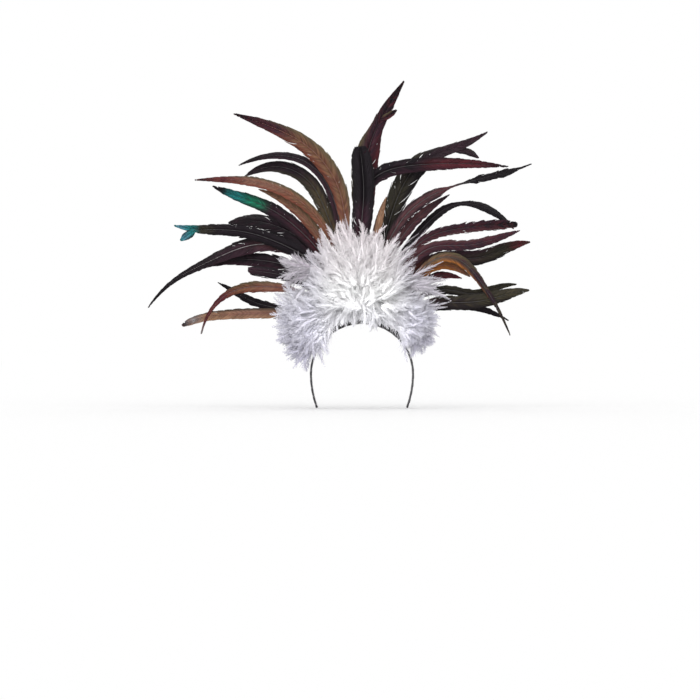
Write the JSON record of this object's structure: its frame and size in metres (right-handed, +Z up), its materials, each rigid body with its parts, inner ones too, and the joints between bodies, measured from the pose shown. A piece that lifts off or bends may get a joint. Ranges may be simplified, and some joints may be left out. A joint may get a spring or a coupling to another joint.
{
  "type": "carnival feather headdress",
  "caption": "Headband with an upright felt crest that holds a wide fan of long curved dark tail feathers, its front covered by tufts of white feathers.",
  "frame": {"origin": "where the crown of the head touches the inside of the headband", "axes": "+X towards the wearer's left side, -Y the way the wearer faces, +Z up"},
  "size_m": [0.5808, 0.1604, 0.4979],
  "materials": {
    "band_satin": "black satin covering",
    "crest_felt": "matt black felt",
    "coque_black": "near-black feather with a purple and green sheen",
    "coque_plum": "dark purple-brown feather",
    "coque_brown": "reddish brown feather with an olive edge",
    "plume_white": "soft matt white down"
  },
  "bodies": {
    "root": {"headband": "band_satin", "crest_pad": "crest_felt", "coque_left_01": "coque_brown", "coque_left_02": "coque_black", "coque_left_03": "coque_black", "coque_left_04": "coque_brown", "coque_left_05": "coque_brown", "coque_left_06": "coque_black", "coque_left_07": "coque_black", "coque_left_08": "coque_black", "coque_left_09": "coque_black", "coque_left_10": "coque_black", "coque_left_11": "coque_black", "coque_left_12": "coque_black", "coque_left_13": "coque_brown", "coque_left_14": "coque_brown", "coque_top_1": "coque_black", "coque_top_2": "coque_black", "coque_top_3": "coque_brown", "coque_right_01": "coque_black", "coque_right_02": "coque_black", "coque_right_03": "coque_plum", "coque_right_04": "coque_plum", "coque_right_05": "coque_black", "coque_right_06": "coque_plum", "coque_right_07": "coque_plum", "coque_right_08": "coque_plum", "coque_right_09": "coque_brown", "coque_right_10": "coque_brown", "coque_right_11": "coque_plum", "coque_right_12": "coque_black", "coque_right_13": "coque_black", "coque_right_14": "coque_black", "plume_crown": "plume_white", "plume_left": "plume_white", "plume_right": "plume_white"}
  },
  "joints": []
}
